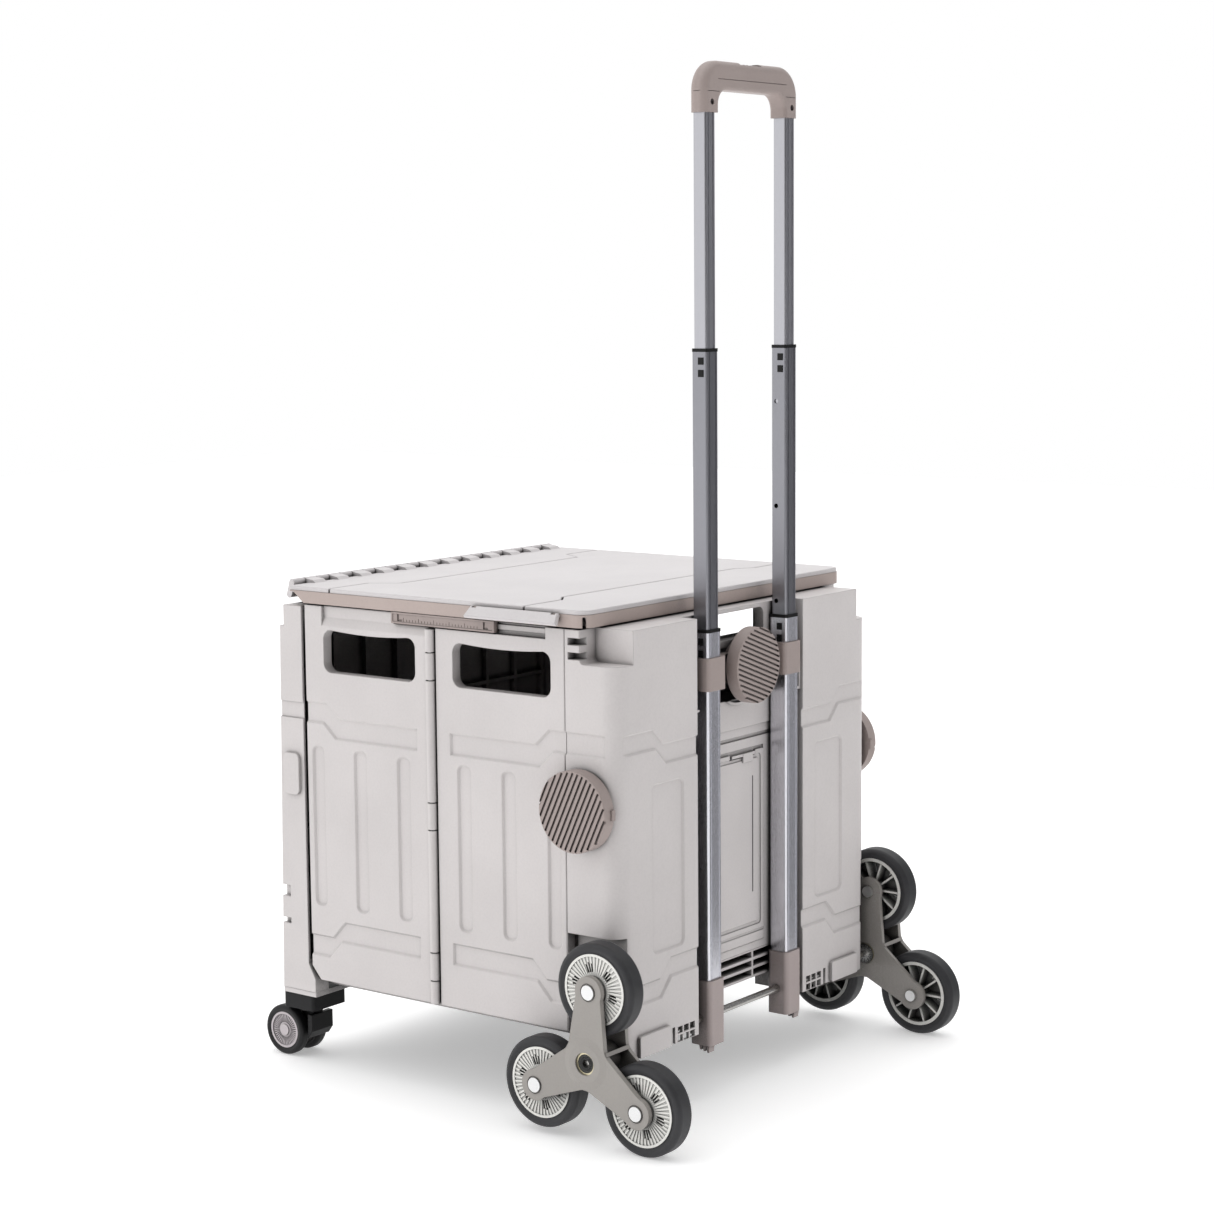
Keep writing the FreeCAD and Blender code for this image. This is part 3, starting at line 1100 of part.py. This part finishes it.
def export_all():
    os.makedirs("parts", exist_ok=True)
    save("corner_blocks", corner_blocks())
    save("rear_wall", rear_wall())
    save("centre_cover", centre_cover())
    save("rear_hinge_lugs", pivot_lugs(PIVOT_Y, REAR_Y0))
    save("front_hinge_lugs", pivot_lugs(-PIVOT_Y, FRONT_Y + MOULD))
    save("floor_rail", floor_rail())
    save("floor_panel", floor_panel())
    save("outer_tubes", tube_pair(OUTER, 90.0, OUTER_TOP))
    save("outer_collars", collars(OUTER, MIDDLE, OUTER_TOP))
    save("middle_tubes", tube_pair(MIDDLE, MIDDLE_Z0, MIDDLE_TOP, (491.0, 589.0, 696.0)))
    save("middle_collars", collars(MIDDLE, INNER, MIDDLE_TOP))
    save("inner_tubes", tube_pair(INNER, INNER_Z0, 1000.0))
    save("pole_boots", both(pole_boot()))
    save("clamp_bracket", clamp_bracket())
    save("main_axle", main_axle())
    save("handle_grip", handle_grip())
    save("handle_button", handle_button())
    save("rear_knob", rear_knob())
    save_pair("side_knob", side_knob())
    save_pair("side_rear", rear_half())
    save_pair("side_front", front_half())
    save_pair("mid_pin", mid_pin())
    save_pair("lock_bar", lock_bar())
    save("front_wall", front_wall())
    save("front_base", front_base())
    save("caster_sockets", both(caster_socket()))
    save_pair("caster_fork", caster_fork())
    save_pair("caster_tyres", caster_tyres())
    save_pair("caster_hubs", caster_hubs())
    save("lid_frame", lid_frame())
    front_slat, middle_slat, rear_slat = slats()
    save("lid_slat_front", front_slat)
    save("lid_slat_middle", middle_slat)
    save("lid_slat_rear", rear_slat)
    save("lid_hinge_strip", lid_hinge_strip())
    save_pair("clasp", clasp())
    save_pair("spider", spider())
    save_pair("spider_pins", spider_pins())
    names = ("top", "front", "rear")
    for name, (y, z) in zip(names, wheel_centres()):
        save_pair("stair_tyre_" + name, stair_tyre(y, z))
        save_pair("stair_hub_" + name, stair_hub(y, z))


export_all()
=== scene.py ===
"""Stair climbing trolley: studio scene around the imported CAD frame."""
import math

import bpy
from mathutils import Matrix, Vector
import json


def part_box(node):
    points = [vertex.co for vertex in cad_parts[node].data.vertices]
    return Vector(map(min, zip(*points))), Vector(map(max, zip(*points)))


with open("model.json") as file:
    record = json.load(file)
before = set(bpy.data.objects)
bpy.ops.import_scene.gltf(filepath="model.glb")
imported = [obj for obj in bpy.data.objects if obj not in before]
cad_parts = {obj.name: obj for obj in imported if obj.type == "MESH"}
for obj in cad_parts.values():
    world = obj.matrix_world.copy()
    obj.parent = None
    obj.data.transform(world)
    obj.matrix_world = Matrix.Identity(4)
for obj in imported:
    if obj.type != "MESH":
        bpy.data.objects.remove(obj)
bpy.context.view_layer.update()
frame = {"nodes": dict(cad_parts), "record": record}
nodes = frame["nodes"]
scene = bpy.context.scene


# ---- materials ----
def new_material(name):
    """A new material, its node tree and its shader."""
    mat = bpy.data.materials.new(name)
    mat.use_nodes = True
    tree = mat.node_tree
    return mat, tree, tree.nodes["Principled BSDF"]


def add(tree, kind, **inputs):
    """A new node with the named inputs set."""
    node = tree.nodes.new(kind)
    for key, value in inputs.items():
        node.inputs[key.replace("_", " ")].default_value = value
    return node


def noise(tree, coord, scale, detail=4.0, rough=0.55):
    """Noise on the object's own coordinates."""
    node = add(tree, "ShaderNodeTexNoise", Scale=scale, Detail=detail, Roughness=rough)
    tree.links.new(coord.outputs["Object"], node.inputs["Vector"])
    return node


def ramp(tree, source, low, high, at=(0.35, 0.65)):
    """Colour from low to high between two values of the source."""
    node = tree.nodes.new("ShaderNodeValToRGB")
    node.color_ramp.elements[0].position = at[0]
    node.color_ramp.elements[1].position = at[1]
    node.color_ramp.elements[0].color = low
    node.color_ramp.elements[1].color = high
    tree.links.new(source.outputs[0], node.inputs["Fac"])
    return node


def tone(color, gain):
    """The colour made lighter or darker, with full alpha."""
    return tuple(max(0.0, min(1.0, c * gain)) for c in color) + (1.0,)


def remap(tree, source, low, high, start=0.0, end=1.0):
    """Socket that runs from low to high while the source runs from start to end."""
    node = tree.nodes.new("ShaderNodeMapRange")
    node.inputs["From Min"].default_value = start
    node.inputs["From Max"].default_value = end
    node.inputs["To Min"].default_value = low
    node.inputs["To Max"].default_value = high
    tree.links.new(source, node.inputs["Value"])
    return node.outputs["Result"]


def relief(tree, shader, height, strength, depth):
    """Fine bumps, depth metres deep; gives the bump node back."""
    bump = add(tree, "ShaderNodeBump", Strength=strength, Distance=depth)
    tree.links.new(height.outputs[0], bump.inputs["Height"])
    tree.links.new(bump.outputs["Normal"], shader.inputs["Normal"])
    return bump


def round_edges(tree, bump, radius):
    """Slightly rounded edges under the fine bumps."""
    bevel = tree.nodes.new("ShaderNodeBevel")
    bevel.samples = 6
    bevel.inputs["Radius"].default_value = radius
    tree.links.new(bevel.outputs["Normal"], bump.inputs["Normal"])


def multiply(tree, first, second):
    """Product of two colours or shades."""
    mix = tree.nodes.new("ShaderNodeMix")
    mix.data_type = "RGBA"
    mix.blend_type = "MULTIPLY"
    mix.inputs["Factor"].default_value = 1.0
    tree.links.new(first, mix.inputs["A"])
    tree.links.new(second, mix.inputs["B"])
    return mix.outputs["Result"]


# reach in metres, darkest painted shade, and the openness at which the painted shade starts and
# ends
CREVICE_SHADE = (0.42, 0.015, 0.05, 0.46)   # gaps, pockets and the closed inside of the crate
SEAM_SHADE = (0.006, 0.5, 0.35, 0.92)       # inner corners of ribs, bands and joints


def shade_of(tree, reach, darkest, start, end):
    """Painted shade of the places that little light gets into, within the given reach."""
    open_sky = tree.nodes.new("ShaderNodeAmbientOcclusion")
    open_sky.samples = 8
    open_sky.inputs["Distance"].default_value = reach
    return remap(tree, open_sky.outputs["AO"], darkest, 1.0, start, end)


DRIFT = 0.03           # how far the colour strays either way
GRAIN = 900.0          # fineness of the moulded texture
GRAIN_DEPTH = 0.00004  # and its depth, in metres


def plastic(name, color, rough=0.42, edge=0.0008, shine=0.5):
    """Moulded plastic: fine texture, slight colour drift, painted shade in gaps and inner corners,
    soft smudges in the gloss.
    """
    mat, tree, shader = new_material(name)
    coord = tree.nodes.new("ShaderNodeTexCoord")
    cloud = noise(tree, coord, 9.0)
    drift = ramp(tree, cloud, tone(color, 1 - DRIFT), tone(color, 1 + DRIFT))
    speck = noise(tree, coord, 420.0, 2.0)
    fleck = ramp(tree, speck, (0.965, 0.965, 0.965, 1), (1, 1, 1, 1), (0.3, 0.6))
    tint = multiply(tree, drift.outputs["Color"], fleck.outputs["Color"])
    # painted shade: ambient occlusion darkens the base colour in gaps, pockets, the closed crate
    # inside and inner corners
    shade = multiply(tree, shade_of(tree, *CREVICE_SHADE), shade_of(tree, *SEAM_SHADE))
    tree.links.new(multiply(tree, tint, shade), shader.inputs["Base Color"])
    smudge = noise(tree, coord, 26.0, 6.0, 0.65)
    gloss = remap(tree, smudge.outputs[0], rough - 0.06, rough + 0.08)
    tree.links.new(gloss, shader.inputs["Roughness"])
    bump = relief(tree, shader, noise(tree, coord, GRAIN, 2.0, 0.5), 0.35, GRAIN_DEPTH)
    round_edges(tree, bump, edge)
    shader.inputs["IOR"].default_value = 1.46
    shader.inputs["Specular IOR Level"].default_value = shine
    return mat


PORES = 1400.0         # fineness of the pores in the tyres
PORE_DEPTH = 0.00006   # and their depth, in metres


def rubber(name, color):
    """Solid tyre: dark, matte, dusty on the tread, with tiny moulding marks."""
    mat, tree, shader = new_material(name)
    coord = tree.nodes.new("ShaderNodeTexCoord")
    dust = noise(tree, coord, 30.0, 8.0, 0.7)
    tint = ramp(tree, dust, tone(color, 0.8), tone(color, 1.35), (0.3, 0.75))
    tree.links.new(tint.outputs["Color"], shader.inputs["Base Color"])
    haze = noise(tree, coord, 60.0, 5.0)
    tree.links.new(remap(tree, haze.outputs[0], 0.42, 0.62), shader.inputs["Roughness"])
    relief(tree, shader, noise(tree, coord, PORES, 3.0), 0.4, PORE_DEPTH)
    shader.inputs["Specular IOR Level"].default_value = 0.36
    return mat


LINES = 300.0          # fineness of the lines in drawn or brushed metal
LINE_DEPTH = 0.00003   # and their depth, in metres


def metal(name, color, rough, stretch):
    """Metal with drawing or brushing lines; stretch is how fine they are along X, Y and Z."""
    mat, tree, shader = new_material(name)
    coord = tree.nodes.new("ShaderNodeTexCoord")
    mapping = tree.nodes.new("ShaderNodeMapping")
    mapping.inputs["Scale"].default_value = stretch
    tree.links.new(coord.outputs["Object"], mapping.inputs["Vector"])
    brushed = add(tree, "ShaderNodeTexNoise", Scale=LINES, Detail=5.0, Roughness=0.6)
    tree.links.new(mapping.outputs["Vector"], brushed.inputs["Vector"])
    tint = ramp(tree, brushed, tone(color, 0.93), tone(color, 1.05))
    tree.links.new(tint.outputs["Color"], shader.inputs["Base Color"])
    gloss = remap(tree, brushed.outputs[0], rough - 0.05, rough + 0.08)
    tree.links.new(gloss, shader.inputs["Roughness"])
    relief(tree, shader, brushed, 0.25, LINE_DEPTH)
    shader.inputs["Metallic"].default_value = 1.0
    return mat


MATERIALS = {
    "shell_white": plastic("shell_white", (0.665, 0.63, 0.625), 0.46, edge=0.0016),
    "lid_white": plastic("lid_white", (0.675, 0.645, 0.65), 0.42, edge=0.0008),
    "skirt_taupe": plastic("skirt_taupe", (0.49, 0.405, 0.375), 0.42, edge=0.0012),
    "trim_taupe": plastic("trim_taupe", (0.375, 0.31, 0.292), 0.46, edge=0.0008),
    "boot_taupe": plastic("boot_taupe", (0.42, 0.355, 0.345), 0.46, edge=0.0010),
    "spider_grey": plastic("spider_grey", (0.355, 0.333, 0.312), 0.40, edge=0.0012),
    "hub_grey": plastic("hub_grey", (0.88, 0.87, 0.83), 0.45, edge=0.0004),
    "caster_black": plastic("caster_black", (0.009, 0.009, 0.010), 0.40, edge=0.0010, shine=0.25),
    "caster_hub": plastic("caster_hub", (0.56, 0.51, 0.53), 0.42, edge=0.0004),
    "ring_black": plastic("ring_black", (0.009, 0.009, 0.009), 0.45, edge=0.0003, shine=0.25),
    "tyre_grey": rubber("tyre_grey", (0.034, 0.034, 0.037)),
    "tyre_black": rubber("tyre_black", (0.007, 0.007, 0.008)),
    "tube_silver": metal("tube_silver", (0.70, 0.70, 0.745), 0.26, (60, 60, 0.6)),
    "steel": metal("steel", (0.50, 0.49, 0.47), 0.26, (0.6, 60, 60)),
    "pin_steel": metal("pin_steel", (0.78, 0.78, 0.78), 0.36, (8, 8, 8)),
}
UPPER_TUBES = {
    "middle_tubes": metal("tube_middle", (0.29, 0.29, 0.315), 0.28, (60, 60, 0.6)),
    "inner_tubes": metal("tube_inner", (0.46, 0.46, 0.49), 0.28, (60, 60, 0.6)),
}
# rings of the bearing in each star: outer radius in metres and the slot that is painted there; the
# innermost black disc is painted shade for the bore
BEARING_RINGS = ((0.0056, 3), (0.0066, 0), (0.0094, 2), (0.0128, 1))
BEARING = metal("bearing_ring", (0.66, 0.60, 0.42), 0.30, (8, 8, 8))
SEAL = plastic("bearing_seal", (0.05, 0.05, 0.045), 0.5)
# black disc of painted shade where the hollow bore would be
BORE_SHADE = plastic("bearing_bore_shade", (0.01, 0.01, 0.01), 0.5)


def paint_cad():
    """Each node gets the material of its slot; the middle and inner tubes get darker tones of the
    tube metal.
    """
    slot_of = {s["node"]: s["material_slot"] for s in frame["record"]["subparts"]}
    for name, obj in nodes.items():
        obj.data.materials.clear()
        obj.data.materials.append(UPPER_TUBES.get(name, MATERIALS[slot_of[name]]))


def paint_bearings():
    """Brassy rim, dark seal, bright sleeve, and a black disc of painted shade for the bore, on the
    bearings of each star.
    """
    low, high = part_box("main_axle")
    axle = (low + high) / 2
    for side in ("left", "right"):
        obj = nodes["spider_pins_" + side]
        for extra in (BEARING, SEAL, BORE_SHADE):
            obj.data.materials.append(extra)
        for face in obj.data.polygons:
            at = obj.matrix_world @ face.center
            reach = math.hypot(at.y - axle.y, at.z - axle.z)
            for radius, index in BEARING_RINGS:
                if reach < radius:
                    face.material_index = index
                    break


paint_cad()
paint_bearings()

# ---- studio: metres and degrees ----
AZIMUTH, ELEVATION, ROLL = 127.23, 7.21, -0.49
CAMERA_AT = Vector((2.191, 1.6756, 0.827))
LENS = 78.29
SENSOR = 36.0
# strength of the studio light at the front and at the handle end, and where it starts to fade
SKY = (1.43, 0.93)
SKY_START = -0.2
# directions of the two darker patches of wall, and how much each takes off
DIM_SIDES = (((0.64, 0.77, 0.0), 1.0), ((-0.35, -0.94, 0.0), 0.45))
FLOOR_SIZE = 14
FLOOR_GLOW = 0.34
TOP_LIGHT = {"at": (0.4, -0.4, 3.2), "target": (0, 0, 0.3), "size": 3.0, "power": 10}
FLAG_FACING = Vector((0.72, -0.69, 0))
UP = Vector((0, 0, 1))
# size, place, facing and turn in degrees of each grey panel
FLAGS = {
    "upright": (2.6, (-1.40, 1.35, 1.25), FLAG_FACING, 0),
    "lying": (1.5, (-0.92, 0.96, 0.004), UP, 45),
}


def make_camera():
    """Camera at the handle side, a little above the lid."""
    a, e = math.radians(AZIMUTH), math.radians(ELEVATION)
    back = Vector((math.sin(a) * math.cos(e), -math.cos(a) * math.cos(e), math.sin(e)))
    right = (-back).cross(UP).normalized()
    up = right.cross(-back)
    r = math.radians(ROLL)
    x = math.cos(r) * right + math.sin(r) * up
    y = -math.sin(r) * right + math.cos(r) * up
    rot = Matrix((x, y, back)).transposed()
    data = bpy.data.cameras.new("camera")
    data.sensor_width = SENSOR
    data.lens = LENS
    cam = bpy.data.objects.new("camera", data)
    cam.matrix_world = Matrix.Translation(CAMERA_AT) @ rot.to_4x4()
    scene.collection.objects.link(cam)
    scene.camera = cam


def top_light():
    """One large soft light overhead."""
    data = bpy.data.lights.new("soft_top", "AREA")
    data.shape = "SQUARE"
    data.size = TOP_LIGHT["size"]
    data.energy = TOP_LIGHT["power"]
    obj = bpy.data.objects.new("soft_top", data)
    obj.location = TOP_LIGHT["at"]
    beam = Vector(TOP_LIGHT["target"]) - obj.location
    obj.rotation_euler = beam.to_track_quat("-Z", "Y").to_euler()
    scene.collection.objects.link(obj)


def make_studio():
    """Pale floor, sky, panels and top light."""
    bpy.ops.mesh.primitive_plane_add(size=FLOOR_SIZE, location=(0, 0, 0))
    floor = bpy.context.object
    floor.name = "studio_floor"
    mat, tree, shader = new_material("studio_floor")
    coord = tree.nodes.new("ShaderNodeTexCoord")
    paper = noise(tree, coord, 3.0)
    tint = ramp(tree, paper, (0.93, 0.93, 0.93, 1), (0.95, 0.95, 0.95, 1))
    tree.links.new(tint.outputs["Color"], shader.inputs["Base Color"])
    shader.inputs["Roughness"].default_value = 0.9
    shader.inputs["Emission Color"].default_value = (1, 1, 1, 1)
    shader.inputs["Emission Strength"].default_value = FLOOR_GLOW
    floor.data.materials.append(mat)
    make_sky()
    make_flags()
    top_light()


def make_flags():
    """Grey panels, upright and lying, beside the set; only shiny parts mirror them."""
    mat, tree, shader = new_material("studio_flag")
    coord = tree.nodes.new("ShaderNodeTexCoord")
    cloth = ramp(tree, noise(tree, coord, 6.0), (0.22, 0.22, 0.23, 1), (0.28, 0.28, 0.29, 1))
    tree.links.new(cloth.outputs["Color"], shader.inputs["Base Color"])
    shader.inputs["Roughness"].default_value = 0.9
    for name, (size, at, facing, turn) in FLAGS.items():
        bpy.ops.mesh.primitive_plane_add(size=size, location=at)
        flag = bpy.context.object
        flag.name = "studio_flag_" + name
        spin = Matrix.Rotation(math.radians(turn), 3, "Z")
        flag.rotation_euler = (facing.to_track_quat("Z", "Y").to_matrix() @ spin).to_euler()
        flag.data.materials.append(mat)
        flag.visible_camera = False
        flag.visible_diffuse = False
        flag.visible_shadow = False


def dimmed(tree, coord, strength, direction, amount):
    """The light strength, less a soft dark patch of the studio wall towards one direction."""
    toward = tree.nodes.new("ShaderNodeVectorMath")
    toward.operation = "DOT_PRODUCT"
    toward.inputs[1].default_value = direction
    tree.links.new(coord.outputs["Generated"], toward.inputs[0])
    light = tree.nodes.new("ShaderNodeMath")
    light.operation = "SUBTRACT"
    tree.links.new(strength, light.inputs[0])
    tree.links.new(remap(tree, toward.outputs["Value"], 0.0, amount), light.inputs[1])
    return light.outputs["Value"]


def make_sky():
    """White studio; its light fades towards the handle side, behind the viewer and on the front."""
    world = bpy.data.worlds.new("studio")
    scene.world = world
    world.use_nodes = True
    tree = world.node_tree
    coord = tree.nodes.new("ShaderNodeTexCoord")
    split = tree.nodes.new("ShaderNodeSeparateXYZ")
    tree.links.new(coord.outputs["Generated"], split.inputs["Vector"])
    strength = remap(tree, split.outputs["Y"], SKY[0], SKY[1], SKY_START)
    for direction, amount in DIM_SIDES:
        strength = dimmed(tree, coord, strength, direction, amount)
    tree.links.new(strength, tree.nodes["Background"].inputs["Strength"])
    tree.nodes["Background"].inputs["Color"].default_value = (1, 1, 1, 1)
    wall = tree.nodes.new("ShaderNodeBackground")
    wall.inputs["Color"].default_value = (1, 1, 1, 1)
    rays = tree.nodes.new("ShaderNodeLightPath")
    choose = tree.nodes.new("ShaderNodeMixShader")
    tree.links.new(rays.outputs["Is Camera Ray"], choose.inputs["Fac"])
    tree.links.new(tree.nodes["Background"].outputs["Background"], choose.inputs[1])
    tree.links.new(wall.outputs["Background"], choose.inputs[2])
    tree.links.new(choose.outputs["Shader"], tree.nodes["World Output"].inputs["Surface"])


make_camera()
make_studio()
scene.view_settings.view_transform = "Standard"
scene.view_settings.look = "None"
